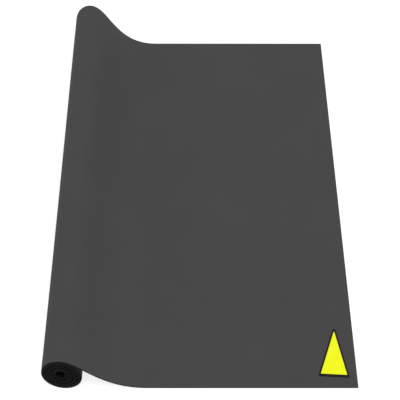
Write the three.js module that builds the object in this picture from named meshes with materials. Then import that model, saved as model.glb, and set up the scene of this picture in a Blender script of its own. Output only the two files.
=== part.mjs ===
// An electrical insulating mat: one sheet of black rubber, partly unrolled on the floor.
//
// One edge of the sheet lies flat. From there the sheet rises in a soft S-curve to the crest of
// its own roll, passes over the roll's left side and under it, and winds inwards to an open bore.
// The outer turn hugs the roll at the near end and stands off it at the far end, so that the crest
// climbs along the mat. The soft roll leans a little away from the flat part, more at the near end.
// A thin triangular patch is stuck on the flat part, near its free corner.
//
// Units are millimetres. +Z is up, the roll's axis runs along Y, the free edge is at +X and the
// near end is at -Y. The origin is on the floor, under the middle of the mat's bounding box.

import * as THREE from "three";

// The sheet
const SHEET_WIDTH = 1000; // along the roll's axis
const SHEET_LENGTH = 2000; // rolled out, from the free edge to the end inside the bore
const THICKNESS = 2;

// The winding
const BORE_RADIUS = 7; // at the near end
const WINDING_GAP = 0.5; // air between one turn and the next
const GAP_TAKEN_UP = 0.5; // share of it that is gone on the roll's left, as the bore sits off centre

// How the sheet lies. The roll's foot is the line where the roll rests on the floor.
const EDGE_TO_FOOT = 511; // from the free edge to the roll's foot
const CREST_LIFT = 35.5; // how much higher the crest is at the far end than at the near end
const LIFT_EASE = 1.5; // 1 lifts the crest evenly along the mat, and more keeps it low at first
const SIDE_SHARE = 0.67; // share of the lift that goes into the outer turn's upright left side
const NEAR_RUN = 143; // from the roll's foot to where the sheet meets the floor, at the near end
const NEAR_GLIDE = 87; // how far out the S-curve is still pulled down to the floor there
const NEAR_OVERHANG = 37; // how far out it is still pulled up to the crest there
const NEAR_LEAN = 0.15; // how far the roll leans over there, for each millimetre of height
const FAR_RUN = 137; // the same four at the far end
const FAR_GLIDE = 95;
const FAR_OVERHANG = 42;
const FAR_LEAN = 0.07;

// The patch
const PATCH_BASE = 54.5; // over its rounded corners, as its height
const PATCH_HEIGHT = 113;
const PATCH_THICKNESS = 0.3;
const PATCH_CORNER_RADIUS = 2.8;
const PATCH_TURN = 4; // degrees clockwise from straight, as it was stuck on by hand
const PATCH_TO_END = 23.3; // from the middle of its base to the sheet's near end
const PATCH_TO_EDGE = 41; // from the middle of its base to the free edge

// Smoothness
const LENGTH_STEPS = 4;
const TURN_STEPS = 24;
const RISE_STEPS = 12;
const CORNER_STEPS = 4;

const PITCH = THICKNESS + WINDING_GAP;
const FLOOR_LINE = THICKNESS / 2; // height of the sheet's mid-line where it lies on the floor
const BORE_LINE = BORE_RADIUS + THICKNESS / 2; // radius of the mid-line at the sheet's inner end
const QUARTER_STEPS = TURN_STEPS / 4;
const TURN_ANGLE = 2 * Math.PI;
const MAX_ROLL_RADIUS = SHEET_LENGTH / 4;
const HALVINGS = 60;

// The mid-line of the sheet across the mat at one place along it, from the free edge to the inner
// end. The roll's foot is at x = 0 and the floor at z = 0. All radii are of the mid-line:
// rollRadius is the roll's at its foot, and sideReach is how far the outer turn goes to the left.
function midLine({ rollRadius, turns, sideReach, crest, run, glide, overhang, lift, lean }) {
  const axisHeight = rollRadius + FLOOR_LINE;
  const shoulder = axisHeight + lift * SIDE_SHARE;
  const line = [new THREE.Vector2(EDGE_TO_FOOT, FLOOR_LINE)];

  // The S-curve from the floor up to the crest
  const rise = new THREE.CubicBezierCurve(
    new THREE.Vector2(run, FLOOR_LINE),
    new THREE.Vector2(run - glide, FLOOR_LINE),
    new THREE.Vector2(overhang, crest),
    new THREE.Vector2(0, crest),
  );
  line.push(...rise.getPoints(RISE_STEPS));

  // Over the crest to the left, and down under the roll
  for (let i = 1; i < QUARTER_STEPS; i++) {
    const angle = (i / TURN_STEPS) * TURN_ANGLE;
    const x = -sideReach * Math.sin(angle);
    line.push(new THREE.Vector2(x, shoulder + (crest - shoulder) * Math.cos(angle)));
  }
  for (let i = 0; i < QUARTER_STEPS; i++) {
    const angle = (i / TURN_STEPS) * TURN_ANGLE;
    const x = -sideReach * Math.cos(angle);
    line.push(new THREE.Vector2(x, axisHeight - rollRadius * Math.sin(angle)));
  }

  // The winding, from the roll's foot inwards. Each turn lies a little further to the left.
  const windingSteps = Math.round(turns * TURN_STEPS);
  for (let i = 0; i <= windingSteps; i++) {
    const turn = (i / windingSteps) * turns;
    const angle = turn * TURN_ANGLE;
    const radius = rollRadius - turn * PITCH;
    const x = radius * Math.sin(angle) - turn * WINDING_GAP * GAP_TAKEN_UP;
    line.push(new THREE.Vector2(x, axisHeight - radius * Math.cos(angle)));
  }

  for (const point of line) point.x -= lean * (point.y - FLOOR_LINE);
  return line;
}

function lengthOf(line) {
  return line.slice(1).reduce((sum, point, i) => sum + point.distanceTo(line[i]), 0);
}

// The roll radius at which the whole sheet is used up.
function radiusThatUsesTheSheet(lineForRadius, smallest) {
  let low = smallest;
  let high = MAX_ROLL_RADIUS;
  for (let i = 0; i < HALVINGS; i++) {
    const middle = (low + high) / 2;
    if (lengthOf(lineForRadius(middle)) < SHEET_LENGTH) low = middle;
    else high = middle;
  }
  return low;
}

// The near end: the outer turn hugs the roll, whose size follows from the length of the sheet.
function nearEnd(rollRadius) {
  return {
    rollRadius,
    turns: (rollRadius - BORE_LINE) / PITCH,
    sideReach: rollRadius + PITCH / 4,
    crest: 2 * rollRadius + PITCH / 2 + FLOOR_LINE,
    run: NEAR_RUN,
    glide: NEAR_GLIDE,
    overhang: NEAR_OVERHANG,
    lift: 0,
    lean: NEAR_LEAN,
  };
}
const near = nearEnd(
  radiusThatUsesTheSheet((radius) => midLine(nearEnd(radius)), BORE_LINE + PITCH),
);

// Further along, the crest climbs. What the outer turn takes up there is drawn from the roll, which
// is wound a little tighter with the same number of turns.
function sectionLine(share) {
  const eased = share ** LIFT_EASE;
  const lift = CREST_LIFT * eased;
  const lineForRadius = (rollRadius) =>
    midLine({
      ...near,
      rollRadius,
      crest: near.crest + lift,
      run: THREE.MathUtils.lerp(NEAR_RUN, FAR_RUN, eased),
      glide: THREE.MathUtils.lerp(NEAR_GLIDE, FAR_GLIDE, eased),
      overhang: THREE.MathUtils.lerp(NEAR_OVERHANG, FAR_OVERHANG, eased),
      lift,
      lean: THREE.MathUtils.lerp(NEAR_LEAN, FAR_LEAN, share),
    });
  return lineForRadius(radiusThatUsesTheSheet(lineForRadius, near.turns * PITCH));
}

// The closed outline of the sheet's section: its outer face along the mid-line, then its inner face
// back again.
function outlineOf(line) {
  const steps = line.slice(1).map((point, i) => point.clone().sub(line[i]).normalize());
  const outer = [];
  const inner = [];
  line.forEach((point, i) => {
    const into = steps[Math.max(i - 1, 0)];
    const onwards = steps[Math.min(i, steps.length - 1)];
    const along = into.clone().add(onwards).normalize();
    const outward = new THREE.Vector2(along.y, -along.x);
    outer.push(point.clone().addScaledVector(outward, THICKNESS / 2));
    inner.push(point.clone().addScaledVector(outward, -THICKNESS / 2));
  });
  return [...outer, ...inner.reverse()];
}

// Joins outlines with the same number of points into one closed skin along Y.
function loft(outlines, stations) {
  const count = outlines[0].length;
  const positions = outlines.flatMap((outline, k) =>
    outline.flatMap((point) => [point.x, stations[k], point.y]),
  );
  const indices = [];
  for (let k = 0; k < outlines.length - 1; k++) {
    for (let i = 0; i < count; i++) {
      const a = k * count + i;
      const b = k * count + ((i + 1) % count);
      const c = b + count;
      const d = a + count;
      indices.push(a, c, b, a, d, c);
    }
  }
  const lastRing = (outlines.length - 1) * count;
  for (const [a, b, c] of THREE.ShapeUtils.triangulateShape(outlines[0], [])) {
    indices.push(a, b, c);
  }
  for (const [a, b, c] of THREE.ShapeUtils.triangulateShape(outlines.at(-1), [])) {
    indices.push(lastRing + a, lastRing + c, lastRing + b);
  }
  const geometry = new THREE.BufferGeometry();
  geometry.setAttribute("position", new THREE.Float32BufferAttribute(positions, 3));
  geometry.setIndex(indices);
  geometry.computeVertexNormals();
  return geometry;
}

const shares = Array.from({ length: LENGTH_STEPS + 1 }, (_, k) => k / LENGTH_STEPS);
const outlines = shares.map((share) => outlineOf(sectionLine(share)));

// The bounding box runs from the roll's left side to the free edge.
const leftReach = -Math.min(...outlines.flat().map((point) => point.x));
const footX = (leftReach - EDGE_TO_FOOT) / 2;
const freeEdgeX = footX + EDGE_TO_FOOT;

function makeSheet() {
  const stations = shares.map((share) => (share - 0.5) * SHEET_WIDTH);
  const rubber = new THREE.MeshStandardMaterial({ color: 0x494949, roughness: 0.85, metalness: 0 });
  const sheet = new THREE.Mesh(loft(outlines, stations), rubber);
  sheet.name = "rubber_sheet";
  sheet.position.x = footX;
  return sheet;
}

// A tall triangle with rounded corners, its base along y = 0 and its tip towards +Y. Base and height
// are measured over the round corners.
function triangleOutline(base, height, cornerRadius) {
  const halfBase = base / 2 - cornerRadius;
  const tip = height - cornerRadius;
  const sideAngle = Math.atan2(halfBase, tip - cornerRadius);
  const outline = new THREE.Shape();
  outline.absarc(-halfBase, cornerRadius, cornerRadius, Math.PI - sideAngle, Math.PI * 1.5);
  outline.absarc(halfBase, cornerRadius, cornerRadius, -Math.PI / 2, sideAngle);
  outline.absarc(0, tip, cornerRadius, sideAngle, Math.PI - sideAngle);
  return outline;
}

function makePatch() {
  const outline = triangleOutline(PATCH_BASE, PATCH_HEIGHT, PATCH_CORNER_RADIUS);
  const geometry = new THREE.ExtrudeGeometry(outline, {
    depth: PATCH_THICKNESS,
    bevelEnabled: false,
    curveSegments: CORNER_STEPS,
  });
  const vinyl = new THREE.MeshStandardMaterial({ color: 0xeaec1f, roughness: 0.4, metalness: 0 });
  const patch = new THREE.Mesh(geometry, vinyl);
  patch.name = "corner_patch";
  patch.position.set(freeEdgeX - PATCH_TO_EDGE, -SHEET_WIDTH / 2 + PATCH_TO_END, THICKNESS);
  patch.rotation.z = THREE.MathUtils.degToRad(-PATCH_TURN);
  return patch;
}

const mat = new THREE.Group();
mat.add(makeSheet(), makePatch());

export default mat;
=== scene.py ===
"""The looks of the insulating mat: its rubber sheet and vinyl patch as fine meshes with their
materials, and a plain white studio with the camera.

Lengths are in metres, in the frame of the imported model: +Z is up, the roll's axis runs along Y,
the free edge is at +X and the near end at -Y.
"""

import math

import bpy
import numpy as np
from mathutils import Matrix, Vector


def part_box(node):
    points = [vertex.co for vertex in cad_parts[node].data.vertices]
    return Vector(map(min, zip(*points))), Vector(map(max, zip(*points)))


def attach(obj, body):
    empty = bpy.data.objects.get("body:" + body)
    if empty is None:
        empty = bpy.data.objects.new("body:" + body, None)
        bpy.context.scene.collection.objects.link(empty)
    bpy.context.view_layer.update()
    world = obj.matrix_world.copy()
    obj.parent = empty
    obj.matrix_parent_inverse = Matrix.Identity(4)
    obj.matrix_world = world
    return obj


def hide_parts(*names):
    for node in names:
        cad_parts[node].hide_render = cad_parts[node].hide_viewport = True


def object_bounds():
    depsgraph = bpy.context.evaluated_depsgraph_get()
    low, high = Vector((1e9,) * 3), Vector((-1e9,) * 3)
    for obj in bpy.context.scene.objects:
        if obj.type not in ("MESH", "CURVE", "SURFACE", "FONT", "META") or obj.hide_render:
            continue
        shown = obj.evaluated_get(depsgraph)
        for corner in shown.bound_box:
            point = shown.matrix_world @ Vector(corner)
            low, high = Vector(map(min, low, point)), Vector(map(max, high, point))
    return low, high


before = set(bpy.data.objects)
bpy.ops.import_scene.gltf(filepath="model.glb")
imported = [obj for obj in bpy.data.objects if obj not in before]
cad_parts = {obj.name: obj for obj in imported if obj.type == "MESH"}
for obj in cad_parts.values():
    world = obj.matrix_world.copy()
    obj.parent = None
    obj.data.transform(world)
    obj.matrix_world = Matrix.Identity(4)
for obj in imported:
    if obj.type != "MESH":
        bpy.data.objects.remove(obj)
cad_low, cad_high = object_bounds()
sheet_low, sheet_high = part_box("rubber_sheet")
patch_low, patch_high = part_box("corner_patch")

# The sheet, with the sizes of its solid. The roll's foot is the line where it rests on the floor.
SHEET_WIDTH = sheet_high.y - sheet_low.y
SHEET_LENGTH = 2.0
THICKNESS = 0.002
BORE_RADIUS = 0.007
WINDING_GAP = 0.0005
GAP_TAKEN_UP = 0.5  # share of the gap that is gone on the roll's left
EDGE_TO_FOOT = 0.511  # from the free edge to the roll's foot
CREST_LIFT = 0.0355  # how much higher the crest is at the far end
LIFT_EASE = 1.5  # 1 lifts the crest evenly along the mat, and more keeps it low at first
SIDE_SHARE = 0.67  # share of the lift that goes into the outer turn's upright left side
RUN = (0.143, 0.137)  # from the foot to where the sheet meets the floor, at the near and far end
GLIDE = (0.087, 0.095)  # how far the S-curve is pulled down to the floor
OVERHANG = (0.037, 0.042)  # how far it is pulled up to the crest
LEAN = (0.15, 0.07)  # how far the roll leans over, for each metre of height
PITCH = THICKNESS + WINDING_GAP
FLOOR_LINE = THICKNESS / 2  # height of the sheet's mid-line where it lies on the floor
BORE_LINE = BORE_RADIUS + THICKNESS / 2
MAX_ROLL_RADIUS = SHEET_LENGTH / 4
FOOT_X = sheet_high.x - EDGE_TO_FOOT

# What the solid leaves out: rounded cut edges, a roll wound by hand, and soft waves
EDGE_ROUND = 0.0003
EDGE_SUPPORT = 0.0015  # a first row this far from an edge keeps the faces' shading flat
INNER_SUPPORT = 0.0005  # the same at the sheet's inner end
WANDER = 0.00009  # how far a turn strays towards its neighbours
WANDER_LENGTH = 0.083  # of its waves along the sheet
WANDER_BEAT = 0.31  # a slower wave in it has this share of its turns
WANDER_SLANT = 2.5  # how its waves turn across the mat, in radians per metre
WANDER_BEAT_SLANT = 4
WANDER_ONSET = 0.2  # it sets in over this length of sheet
STAGGER = 0.0009  # how far the turns' edges stand proud or sunk at the roll's ends
STAGGER_LENGTH = 0.37
STAGGER_RIPPLE = 0.4  # share of a shorter wave in it
STAGGER_RIPPLE_RATE = 2.7  # how many times shorter that wave is
STAGGER_ONSET = 0.3  # it sets in over this length of sheet
SWELL = 0.0004  # height of the soft waves in the flat part
SWELL_LENGTH = 0.24
SWELL_CROSS_LENGTH = 0.552  # of the waves across the mat
SWELL_BEND = 1.1  # how far the crests bend, in radians of a wave
SWELL_BEND_LENGTH = 0.72
SWELL_MARGIN = 0.13  # the waves die out this far from the edges

# Steps of the fine mesh
STATIONS = 41
FLAT_STEPS = 24
RISE_STEPS = 30
QUARTER_STEPS = 12
TURN_STEPS = 42
EDGE_ROUND_STEPS = 2
FINER = 4  # the mid-line is measured with this many times the steps
HALVINGS = 40

# Where the sheet's faces and its cut edges lie on its map
MAP_SCALE = 0.48  # per metre of sheet
MAP_MARGIN = 0.005
EDGE_BAND = 0.006
EDGE_BAND_GAP = 0.003
NEAR, INNER, FAR, FREE = range(4)  # the sides of the rolled out sheet
EDGE_SHELVES = (0, 2, 1, 2)  # which row of bands holds the edge of each side

# The patch
PATCH_BASE = 0.0545
PATCH_HEIGHT = 0.113
PATCH_CORNER_RADIUS = 0.0028
PATCH_TURN = math.radians(4)
PATCH_TO_END = 0.0233
PATCH_TO_EDGE = 0.041
PATCH_EDGE_ROUND = 0.00008
RIM_SIDE = 0.0032  # width of the printed rim at the sides and at the base
RIM_BASE = 0.0064
FIELD_CORNER_RADIUS = 0.0006
CORNER_STEPS = 8
FIELD_RINGS = 8
FIELD_INK, RIM_INK = range(2)  # places of the patch's two materials

# The rubber's faces, with the imprint of the woven liner that they were pressed on
IMPRINT_PITCH = 0.006
IMPRINT_DEPTH = 0.00014
THREAD_PITCH = 0.001
THREAD_SHARE = 0.35  # of the imprint's depth
GRAIN_SIZE = 0.0008
GRAIN_SHARE = 0.2
CAVITY_PAINTED_SHADE = 0.10  # painted shade: how much darker the imprint's hollows are
WOUND_PAINTED_SHADES = ((0, 1), (0.2, 0.4), (0.5, 0.12), (1, 0.07))  # painted shade inside the roll, at each share of the winding
FACE_GREYS = (0.0547, 0.0592)
FACE_MOTTLE_SIZE = 0.16
FACE_ROUGHNESS = (0.74, 0.8)
FACE_WEAR_SIZE = 0.08
FACE_GLOSS = 0.07

# The rubber's cut edges
CUT_GREYS = (0.0045, 0.009)
CUT_MOTTLE_SIZE = 0.012
KNIFE_MARK_SIZE = 0.0009
KNIFE_MARK_SCALE = (0.2, 0.2, 4)  # draws the marks out along the edge
KNIFE_MARK_DEPTH = 0.00008
CUT_ROUGHNESS = 0.7
CUT_GLOSS = 0.05

# The patch's vinyl and its ink
YELLOWS = ((0.76, 0.79, 0.004), (0.81, 0.84, 0.006))
YELLOW_MOTTLE_SIZE = 0.02
YELLOW_ROUGHNESS = (0.3, 0.42)
YELLOW_GLOSS = 0.18
INK_GREYS = (0.004, 0.009)
INK_MOTTLE_SIZE = 0.006
INK_ROUGHNESS = (0.35, 0.5)
INK_GLOSS = 0.15
VINYL_RIPPLE_SIZE = 0.003
VINYL_RIPPLE_DEPTH = 0.00004
VINYL_WEAR_SIZE = 0.01

# The camera, fitted to the photograph
CAMERA_PLACE = (-0.01305, -2.0744, 1.91784)
CAMERA_DOWN = math.radians(43)
CAMERA_RIGHT = math.radians(0.373)
CAMERA_TILT = math.radians(0.28)
CAMERA_LENS = 126.66
CAMERA_REACH = 100

# The light
SKY_STRENGTH = 0.85
BACKDROP_STRENGTH = 1.1  # what the camera sees past the floor
KEY_STRENGTH = 1.1
KEY_SOFTNESS = math.radians(25)
KEY_FROM = (0.2, -0.45, 1)

# The floor
FLOOR_HALF = 20
FLOOR_GREYS = (0.3, 0.31)
FLOOR_MOTTLE_SIZE = 0.5
FLOOR_ROUGHNESS = 0.9
FLOOR_GLOW = 0.8
GLOW_REACHES = 0.07  # how far into the hollow beside the roll the glow is full, and where it ends
GLOW_ENDS = 0.15
GLOW_SIDE = 0.01  # how far from the sides of the hollow it fades

NOISE_RANGE = (0.3, 0.7)  # the values that noise mostly keeps to


def between(ends, share):
    return ends[0] + (ends[1] - ends[0]) * share


def mid_line(share, radius, near_radius, finer=1):
    """The sheet's mid-line across the mat, from the free edge to its inner end, as points (x, z).

    share goes from 0 at the near end to 1 at the far end. The roll's foot is at x = 0.
    """
    eased = share**LIFT_EASE
    lift = CREST_LIFT * eased
    turns = (near_radius - BORE_LINE) / PITCH
    side_reach = near_radius + PITCH / 4
    crest = 2 * near_radius + PITCH / 2 + FLOOR_LINE + lift
    axis_height = radius + FLOOR_LINE
    shoulder = axis_height + lift * SIDE_SHARE
    run, glide, overhang = (between(ends, eased) for ends in (RUN, GLIDE, OVERHANG))

    t = np.arange(FLAT_STEPS * finer) / (FLAT_STEPS * finer)
    flat = EDGE_TO_FOOT + (run - EDGE_TO_FOOT) * t, np.full(len(t), FLOOR_LINE)

    t = np.arange(RISE_STEPS * finer) / (RISE_STEPS * finer)
    weights = (1 - t) ** 3, 3 * t * (1 - t) ** 2, 3 * t * t * (1 - t), t**3
    pull_x = (run, run - glide, overhang, 0)
    pull_z = (FLOOR_LINE, FLOOR_LINE, crest, crest)
    rise = [sum(w * p for w, p in zip(weights, pull)) for pull in (pull_x, pull_z)]

    angle = np.arange(QUARTER_STEPS * finer) / (QUARTER_STEPS * finer) * math.pi / 2
    over = -side_reach * np.sin(angle), shoulder + (crest - shoulder) * np.cos(angle)
    under = -side_reach * np.cos(angle), axis_height - radius * np.sin(angle)

    turn = np.linspace(0, turns, round(turns * TURN_STEPS) * finer + 1)
    angle = 2 * math.pi * turn
    wound = radius - PITCH * turn
    drift = GAP_TAKEN_UP * WINDING_GAP * turn
    winding = wound * np.sin(angle) - drift, axis_height - wound * np.cos(angle)

    x, z = np.concatenate([flat, rise, over, under, winding], axis=1)
    return np.stack([x - between(LEAN, share) * (z - FLOOR_LINE), z], axis=1)


def lengths_along(line):
    steps = np.linalg.norm(np.diff(line, axis=0), axis=1)
    return np.concatenate([[0], np.cumsum(steps)])


def radius_that_uses_the_sheet(line_for_radius, low):
    high = MAX_ROLL_RADIUS
    for _ in range(HALVINGS):
        middle = (low + high) / 2
        if lengths_along(line_for_radius(middle))[-1] < SHEET_LENGTH:
            low = middle
        else:
            high = middle
    return low


near_radius = radius_that_uses_the_sheet(lambda r: mid_line(0, r, r, FINER), BORE_LINE + PITCH)
row_places = lengths_along(mid_line(0, near_radius, near_radius))
row_places *= SHEET_LENGTH / row_places[-1]
winding_starts = row_places[FLAT_STEPS + RISE_STEPS + 2 * QUARTER_STEPS]


def section(share, places):
    """The mid-line's points at the given places along the sheet, and its outward directions."""
    smallest = near_radius - BORE_LINE
    radius = radius_that_uses_the_sheet(
        lambda r: mid_line(share, r, near_radius, FINER), smallest
    )
    line = mid_line(share, radius, near_radius, FINER)
    along = lengths_along(line)
    along *= SHEET_LENGTH / along[-1]
    points = np.stack([np.interp(places, along, line[:, i]) for i in (0, 1)], axis=1)
    heading = np.gradient(line, along, axis=0)
    heading = np.stack([np.interp(places, along, heading[:, i]) for i in (0, 1)], axis=1)
    heading /= np.linalg.norm(heading, axis=1)[:, None]
    return points, np.stack([heading[:, 1], -heading[:, 0]], axis=1)


def smooth_step(low, high, value):
    t = np.clip((value - low) / (high - low), 0, 1)
    return t * t * (3 - 2 * t)


def wave_angle(value, length):
    return 2 * math.pi * value / length


def swell(place, across):
    """Height of the soft waves in the flat part."""
    from_edges = np.minimum(place, SHEET_WIDTH / 2 - np.abs(across))
    from_rise = EDGE_TO_FOOT - max(RUN) - place
    fade = smooth_step(0, SWELL_MARGIN, from_edges) * smooth_step(0, SWELL_MARGIN, from_rise)
    bend = SWELL_BEND * np.sin(wave_angle(across, SWELL_BEND_LENGTH))
    along = np.sin(wave_angle(place, SWELL_LENGTH) + bend)
    return SWELL * fade * (1 + along * np.cos(wave_angle(across, SWELL_CROSS_LENGTH))) / 2


def wander(place, across):
    """How far the winding strays outwards."""
    fade = smooth_step(winding_starts, winding_starts + WANDER_ONSET, place)
    turn = wave_angle(place, WANDER_LENGTH)
    stray = np.sin(turn + WANDER_SLANT * across)
    beat = np.cos(WANDER_BEAT * turn - WANDER_BEAT_SLANT * across)
    return WANDER * fade * stray * beat


def stagger(place):
    """How far the winding has drifted along its axis."""
    fade = smooth_step(winding_starts, winding_starts + STAGGER_ONSET, place)
    turn = wave_angle(place, STAGGER_LENGTH)
    return STAGGER * fade * (np.sin(turn) + STAGGER_RIPPLE * np.sin(STAGGER_RIPPLE_RATE * turn))


def edge_rings():
    """Inset and height of each ring round the cut edge, from the outer face to the inner one."""
    flat = THICKNESS / 2 - EDGE_ROUND
    angles = [step / EDGE_ROUND_STEPS * math.pi / 2 for step in range(EDGE_ROUND_STEPS + 1)]
    upper = [
        (EDGE_ROUND * (1 - math.sin(a)), flat + EDGE_ROUND * math.cos(a)) for a in angles
    ]
    return upper + [(inset, -height) for inset, height in reversed(upper)]


def sheet_grid():
    """Places along the sheet and across it where the fine mesh has its rows and columns."""
    half = SHEET_WIDTH / 2
    support = half - EDGE_SUPPORT
    inner_end = [SHEET_LENGTH - INNER_SUPPORT, SHEET_LENGTH]
    places = np.concatenate([[0, EDGE_SUPPORT], row_places[1:-1], inner_end])
    stations = np.linspace(-half, half, STATIONS)
    return places, np.concatenate([[-half, -support], stations[1:-1], [support, half]])


def rim_of(rows, columns):
    """Rows and columns of the grid's points round its edge, and the side that each is on."""
    sides = [
        [(row, 0) for row in range(rows - 1)],
        [(rows - 1, column) for column in range(columns - 1)],
        [(row, columns - 1) for row in range(rows - 1, 0, -1)],
        [(0, column) for column in range(columns - 1, 0, -1)],
    ]
    side = np.repeat((NEAR, INNER, FAR, FREE), [len(points) for points in sides])
    return *np.concatenate(sides).T, side


def sheet_layer(grid, rows, columns, inset, height):
    """One layer of the sheet's vertices: where they lie in the mat, and where rolled out."""
    places, across, lines, outwards = grid
    place = np.clip(places[rows], inset, SHEET_LENGTH - inset)
    y = np.clip(across[columns], inset - SHEET_WIDTH / 2, SHEET_WIDTH / 2 - inset)
    outward = outwards[rows, columns]
    # an inset row moves along the sheet, which is a quarter turn from outward
    heading = np.stack([-outward[:, 1], outward[:, 0]], axis=1)
    points = lines[rows, columns] + heading * (place - places[rows])[:, None]
    x, z = (points + outward * (height + wander(place, y))[:, None]).T
    in_the_mat = np.stack([x + FOOT_X, y + stagger(place), z + swell(place, y)], axis=1)
    return in_the_mat, np.stack([place, y, np.full(len(y), height)], axis=1)


def sheet_faces(rows, columns, rim, edge_loops):
    """Faces of the outer side, of the inner side and of each band round the cut edge."""
    corner = (np.arange(rows - 1)[:, None] * columns + np.arange(columns - 1)).ravel()
    outer = np.stack([corner, corner + 1, corner + columns + 1, corner + columns], axis=1)
    inner_starts = rows * columns + edge_loops * len(rim)
    loops = [rim]
    loops += [rows * columns + k * len(rim) + np.arange(len(rim)) for k in range(edge_loops)]
    loops += [rim + inner_starts]
    bands = [
        np.stack([a, np.roll(a, -1), np.roll(b, -1), b], axis=1) for a, b in zip(loops, loops[1:])
    ]
    return outer, outer[:, ::-1] + inner_starts, bands


def sheet_map(rolled_out, outer, inner, bands, side):
    """The map, face by face: both sides rolled out, and the cut edges in bands beside them."""
    face_step = SHEET_WIDTH * MAP_SCALE + MAP_MARGIN
    flat = rolled_out[:, :2] * MAP_SCALE + (MAP_MARGIN, MAP_MARGIN + SHEET_WIDTH / 2 * MAP_SCALE)
    maps = [flat[outer], flat[inner] + (0, face_step)]

    lengthwise = np.isin(side, (NEAR, FAR))[:, None]
    band_u = MAP_MARGIN + np.where(side == FREE, face_step, 0)
    shelf = np.array(EDGE_SHELVES)[side]
    band_v = 2 * face_step + MAP_MARGIN + shelf * (EDGE_BAND + EDGE_BAND_GAP)
    for k, band in enumerate(bands):
        place, y, _ = np.moveaxis(rolled_out[band], 2, 0)
        run = np.where(lengthwise, place, y + SHEET_WIDTH / 2)
        level = np.array([k, k, k + 1, k + 1]) / len(bands)
        u = band_u[:, None] + run * MAP_SCALE
        v = band_v[:, None] + level * EDGE_BAND
        maps.append(np.stack([u, v], axis=2))
    return np.concatenate(maps)


def make_sheet():
    places, across = sheet_grid()
    rows, columns = len(places), len(across)
    sections = [section(y / SHEET_WIDTH + 0.5, places) for y in across]
    lines, outwards = (np.stack(parts, axis=1) for parts in zip(*sections))
    grid = places, across, lines, outwards

    # The outer side, the loops round the cut edge, and the inner side
    all_rows, all_columns = np.indices((rows, columns)).reshape(2, -1)
    rim_rows, rim_columns, side = rim_of(rows, columns)
    first, *edge_loops, last = edge_rings()
    layers = [sheet_layer(grid, all_rows, all_columns, *first)]
    layers += [sheet_layer(grid, rim_rows, rim_columns, *ring) for ring in edge_loops]
    layers += [sheet_layer(grid, all_rows, all_columns, *last)]
    vertices, rolled_out = (np.concatenate(parts) for parts in zip(*layers))
    rim = rim_rows * columns + rim_columns
    outer, inner, bands = sheet_faces(rows, columns, rim, len(edge_loops))
    faces = np.concatenate([outer, inner, *bands])
    map_corners = sheet_map(rolled_out, outer, inner, bands, side)

    mesh = bpy.data.meshes.new("insulating_sheet")
    mesh.from_pydata(vertices.tolist(), [], faces.tolist())
    mesh.uv_layers.new(name="OFBake").data.foreach_set("uv", map_corners.ravel())
    laid = mesh.attributes.new("rolled_out", "FLOAT_VECTOR", "POINT")
    laid.data.foreach_set("vector", rolled_out.ravel())
    mesh.materials.append(face_rubber())
    mesh.materials.append(cut_rubber())
    is_cut = np.arange(len(faces)) >= len(outer) + len(inner)
    mesh.polygons.foreach_set("material_index", is_cut.astype(np.int32))
    mesh.shade_smooth()
    return show(mesh)


def show(mesh):
    piece = bpy.data.objects.new(mesh.name, mesh)
    bpy.context.scene.collection.objects.link(piece)
    return piece


def patch_ring(side_inset, base_inset, radius):
    """An outline set in from the patch's own, with arcs at its corners, its base at y = 0."""
    half_base = PATCH_BASE / 2 - PATCH_CORNER_RADIUS
    slope = half_base / (PATCH_HEIGHT - 2 * PATCH_CORNER_RADIUS)
    slant = math.hypot(1, slope)
    low = base_inset + radius
    half = half_base + (PATCH_CORNER_RADIUS - low) * slope
    half += (PATCH_CORNER_RADIUS - side_inset - radius) * slant
    side = math.atan(slope)
    arcs = [
        (-half, low, math.pi - side, math.pi * 1.5),
        (half, low, -math.pi / 2, side),
        (0, low + half / slope, side, math.pi - side),
    ]
    outline = []
    for x, y, start, end in arcs:
        angle = np.linspace(start, end, CORNER_STEPS + 1)
        outline.append(np.stack([x + radius * np.cos(angle), y + radius * np.sin(angle)], axis=1))
    return np.concatenate(outline)


def make_patch():
    thickness = patch_high.z - patch_low.z
    upright = thickness - PATCH_EDGE_ROUND
    outer = patch_ring(0, 0, PATCH_CORNER_RADIUS)
    rounded = patch_ring(
        PATCH_EDGE_ROUND, PATCH_EDGE_ROUND, PATCH_CORNER_RADIUS - PATCH_EDGE_ROUND
    )
    field = patch_ring(RIM_SIDE, RIM_BASE, FIELD_CORNER_RADIUS)
    centre = field.mean(axis=0)

    # Rings from the underside over the rounded edge and the rim to the middle of the field
    rings = [(outer, 0), (outer, upright), (rounded, thickness)]
    rings += [((rounded + field) / 2, thickness), (field, thickness)]
    rim_bands = len(rings) - 1
    for k in range(1, FIELD_RINGS):
        rings.append((centre + (field - centre) * (1 - k / FIELD_RINGS), thickness))

    count = len(outer)
    vertices = [(x, y, height) for ring, height in rings for x, y in ring]
    middle = len(vertices)
    vertices += [(*centre, thickness), (*centre, 0)]
    faces, inks = [], []
    for band in range(len(rings) - 1):
        for k in range(count):
            a = band * count + k
            b = band * count + (k + 1) % count
            faces.append((a, b, b + count, a + count))
            inks.append(RIM_INK if band < rim_bands else FIELD_INK)
    last = (len(rings) - 1) * count
    for k in range(count):
        following = (k + 1) % count
        faces.append((last + k, last + following, middle))
        faces.append((following, k, middle + 1))
        inks += [FIELD_INK, RIM_INK]

    mesh = bpy.data.meshes.new("vinyl_patch")
    mesh.from_pydata(vertices, [], faces)
    place = (sheet_high.x - PATCH_TO_EDGE, sheet_low.y + PATCH_TO_END, patch_low.z)
    mesh.transform(Matrix.Translation(place) @ Matrix.Rotation(-PATCH_TURN, 4, "Z"))
    mesh.materials.append(yellow_vinyl())
    mesh.materials.append(black_ink())
    mesh.polygons.foreach_set("material_index", inks)
    return show(mesh)


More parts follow.
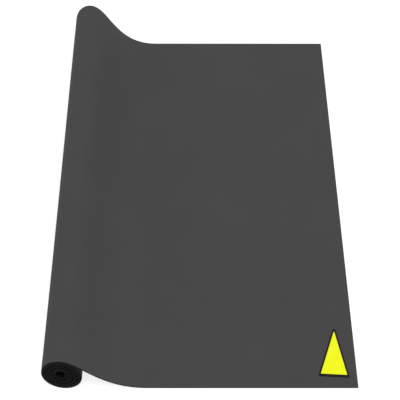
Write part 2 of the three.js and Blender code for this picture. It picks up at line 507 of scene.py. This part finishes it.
class Nodes:
    """A material's node tree, with short words for what the materials here need."""

    def __init__(self, name):
        self.material = bpy.data.materials.new(name)
        self.material.use_nodes = True
        self.tree = self.material.node_tree
        self.shader = self.tree.nodes["Principled BSDF"]

    def add(self, kind, **inputs):
        node = self.tree.nodes.new(kind)
        for name, value in inputs.items():
            self.feed(node.inputs[name.replace("_", " ")], value)
        return node

    def feed(self, socket, value):
        if isinstance(value, bpy.types.NodeSocket):
            self.tree.links.new(value, socket)
        else:
            socket.default_value = value

    def math(self, operation, *values):
        node = self.tree.nodes.new("ShaderNodeMath")
        node.operation = operation
        for socket, value in zip(node.inputs, values):
            self.feed(socket, value)
        return node.outputs[0]

    def attribute(self, name):
        node = self.tree.nodes.new("ShaderNodeAttribute")
        node.attribute_name = name
        return node.outputs["Vector"]

    def object_place(self):
        return self.tree.nodes.new("ShaderNodeTexCoord").outputs["Object"]

    def split(self, vector):
        return self.add("ShaderNodeSeparateXYZ", Vector=vector).outputs

    def noise(self, place, size, detail=2, roughness=0.5):
        """Noise whose lumps are about size metres across."""
        node = self.add("ShaderNodeTexNoise", Vector=place, Scale=1 / size)
        node.inputs["Detail"].default_value = detail
        node.inputs["Roughness"].default_value = roughness
        return node.outputs["Fac"]

    def ramp(self, value, stops):
        """Colours between stops, each a pair of position and colour."""
        node = self.add("ShaderNodeValToRGB", Fac=value)
        elements = node.color_ramp.elements
        while len(elements) < len(stops):
            elements.new(1)
        for element, (position, colour) in zip(elements, stops):
            element.position = position
            element.color = (*colour, 1)
        return node.outputs["Color"]

    def between(self, value, start, end, first, last):
        """Goes from first to last as value goes from start to end."""
        node = self.add("ShaderNodeMapRange", Value=value)
        limits = {"From Min": start, "From Max": end, "To Min": first, "To Max": last}
        for name, limit in limits.items():
            node.inputs[name].default_value = limit
        return node.outputs["Result"]

    def remap(self, noise, limits):
        """Takes noise to the range between two limits."""
        return self.between(noise, *NOISE_RANGE, *limits)

    def bump(self, height, depth):
        node = self.add("ShaderNodeBump", Height=height, Distance=depth)
        self.feed(self.shader.inputs["Normal"], node.outputs["Normal"])

    def finish(self, colour, roughness, gloss):
        self.feed(self.shader.inputs["Base Color"], colour)
        self.feed(self.shader.inputs["Roughness"], roughness)
        self.shader.inputs["Specular IOR Level"].default_value = gloss
        return self.material


def grey(value):
    return (value, value, value)


def woven_imprint(nodes, place):
    """Height from about -1 to 1: squares with threads across, and squares with threads along."""
    waves, threads = [], []
    for value in nodes.split(place)[:2]:
        square = nodes.math("MULTIPLY", value, 2 * math.pi / IMPRINT_PITCH)
        thread = nodes.math("MULTIPLY", value, 2 * math.pi / THREAD_PITCH)
        waves.append(nodes.math("SINE", square))
        threads.append(nodes.math("SINE", thread))
    squares = nodes.math("MULTIPLY", *waves)
    raised = nodes.math("MAXIMUM", squares, 0.0)
    sunk = nodes.math("MINIMUM", squares, 0.0)
    threads_across = nodes.math("MULTIPLY", raised, threads[0])
    threads_along = nodes.math("MULTIPLY", sunk, threads[1])
    lines = nodes.math("ADD", threads_across, threads_along)
    return nodes.math("MULTIPLY_ADD", lines, THREAD_SHARE, squares)


def face_rubber():
    """Matt dark grey rubber with the imprint of a woven liner, with painted shade in its hollows
    and painted shade that makes it blacker inside the roll.
    """
    nodes = Nodes("face_rubber")
    place = nodes.attribute("rolled_out")
    imprint = woven_imprint(nodes, place)
    grain = nodes.noise(place, GRAIN_SIZE, detail=3, roughness=0.6)
    grain = nodes.remap(grain, (-GRAIN_SHARE, GRAIN_SHARE))
    nodes.bump(nodes.math("ADD", imprint, grain), IMPRINT_DEPTH)

    mottle = nodes.noise(place, FACE_MOTTLE_SIZE, detail=4, roughness=0.6)
    # painted shade: the imprint's hollows are darker
    shade = nodes.math("MULTIPLY_ADD", imprint, CAVITY_PAINTED_SHADE / 2, 1 - CAVITY_PAINTED_SHADE / 2)
    # painted shade: the faces turn blacker inwards along the winding
    wound = nodes.between(nodes.split(place)["X"], winding_starts, SHEET_LENGTH, 0, 1)
    roll_painted_shade = nodes.ramp(wound, [(share, grey(value)) for share, value in WOUND_PAINTED_SHADES])
    shade = nodes.math("MULTIPLY", shade, roll_painted_shade)
    colour = nodes.math("MULTIPLY", nodes.remap(mottle, FACE_GREYS), shade)
    worn = nodes.remap(nodes.noise(place, FACE_WEAR_SIZE, detail=3), FACE_ROUGHNESS)
    return nodes.finish(colour, worn, FACE_GLOSS)


def cut_rubber():
    """The knife-cut edge: blacker than the faces, with fine marks of the blade along it."""
    nodes = Nodes("cut_rubber")
    place = nodes.attribute("rolled_out")
    drawn_out = nodes.add("ShaderNodeMapping", Vector=place, Scale=KNIFE_MARK_SCALE)
    marks = nodes.noise(drawn_out.outputs[0], KNIFE_MARK_SIZE, detail=3)
    nodes.bump(marks, KNIFE_MARK_DEPTH)
    colour = nodes.remap(nodes.noise(place, CUT_MOTTLE_SIZE, detail=3), CUT_GREYS)
    return nodes.finish(colour, CUT_ROUGHNESS, CUT_GLOSS)


def yellow_vinyl():
    nodes = Nodes("yellow_vinyl")
    place = nodes.object_place()
    tint = nodes.noise(place, YELLOW_MOTTLE_SIZE, detail=4)
    colour = nodes.ramp(tint, list(zip(NOISE_RANGE, YELLOWS)))
    nodes.bump(nodes.noise(place, VINYL_RIPPLE_SIZE), VINYL_RIPPLE_DEPTH)
    worn = nodes.remap(nodes.noise(place, VINYL_WEAR_SIZE, detail=3), YELLOW_ROUGHNESS)
    return nodes.finish(colour, worn, YELLOW_GLOSS)


def black_ink():
    nodes = Nodes("black_ink")
    place = nodes.object_place()
    tint = nodes.noise(place, INK_MOTTLE_SIZE, detail=3)
    colour = nodes.ramp(tint, list(zip(NOISE_RANGE, map(grey, INK_GREYS))))
    nodes.bump(nodes.noise(place, VINYL_RIPPLE_SIZE), VINYL_RIPPLE_DEPTH)
    worn = nodes.remap(nodes.noise(place, VINYL_WEAR_SIZE, detail=3), INK_ROUGHNESS)
    return nodes.finish(colour, worn, INK_GLOSS)


def white_floor():
    """Plain white with a glow of its own, except deep in the hollow beside the roll."""
    nodes = Nodes("studio_white")
    place = nodes.object_place()
    x, y = nodes.split(place)[:2]
    half_hollow = RUN[0] / 2
    across = nodes.math("ABSOLUTE", nodes.math("SUBTRACT", x, FOOT_X + half_hollow))
    along = nodes.math("ABSOLUTE", y)
    end = cad_high.y
    beside = nodes.between(across, half_hollow - GLOW_SIDE, half_hollow, 0, FLOOR_GLOW)
    beyond = nodes.between(along, end - GLOW_ENDS, end - GLOW_REACHES, 0, FLOOR_GLOW)
    nodes.shader.inputs["Emission Color"].default_value = (1, 1, 1, 1)
    nodes.feed(nodes.shader.inputs["Emission Strength"], nodes.math("MAXIMUM", beside, beyond))
    colour = nodes.remap(nodes.noise(place, FLOOR_MOTTLE_SIZE), FLOOR_GREYS)
    return nodes.finish(colour, FLOOR_ROUGHNESS, 0)


def make_sky():
    """White light from all round. The camera sees it a little brighter, as a backdrop."""
    world = bpy.data.worlds.new("soft_white")
    bpy.context.scene.world = world
    world.use_nodes = True
    nodes, links = world.node_tree.nodes, world.node_tree.links
    sky = nodes["Background"]
    backdrop = nodes.new("ShaderNodeBackground")
    for background, strength in ((sky, SKY_STRENGTH), (backdrop, BACKDROP_STRENGTH)):
        background.inputs["Color"].default_value = (1, 1, 1, 1)
        background.inputs["Strength"].default_value = strength
    mix = nodes.new("ShaderNodeMixShader")
    seen = nodes.new("ShaderNodeLightPath").outputs["Is Camera Ray"]
    for source, socket in zip((seen, sky.outputs[0], backdrop.outputs[0]), mix.inputs):
        links.new(source, socket)
    links.new(mix.outputs[0], nodes["World Output"].inputs["Surface"])


def make_studio():
    mesh = bpy.data.meshes.new("studio_floor")
    half = FLOOR_HALF
    corners = [(-half, -half, 0), (half, -half, 0), (half, half, 0), (-half, half, 0)]
    mesh.from_pydata(corners, [], [(0, 1, 2, 3)])
    mesh.materials.append(white_floor())
    floor = show(mesh)

    make_sky()
    lamp = bpy.data.lights.new("key_light", "SUN")
    lamp.energy = KEY_STRENGTH
    lamp.angle = KEY_SOFTNESS
    key = bpy.data.objects.new("key_light", lamp)
    key.rotation_euler = Vector(KEY_FROM).to_track_quat("Z", "Y").to_euler()
    bpy.context.scene.collection.objects.link(key)
    bpy.context.scene.view_settings.view_transform = "Standard"


def make_camera():
    data = bpy.data.cameras.new("camera")
    data.lens = CAMERA_LENS
    data.clip_end = CAMERA_REACH
    camera = bpy.data.objects.new("camera", data)
    camera.matrix_world = (
        Matrix.Translation(CAMERA_PLACE)
        @ Matrix.Rotation(-CAMERA_RIGHT, 4, "Z")
        @ Matrix.Rotation(math.pi / 2 - CAMERA_DOWN, 4, "X")
        @ Matrix.Rotation(CAMERA_TILT, 4, "Z")
    )
    bpy.context.scene.collection.objects.link(camera)
    bpy.context.scene.camera = camera


make_camera()
make_studio()

sheet = make_sheet()
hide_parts("rubber_sheet")
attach(sheet, "root")

patch = make_patch()
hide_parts("corner_patch")
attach(patch, "root")
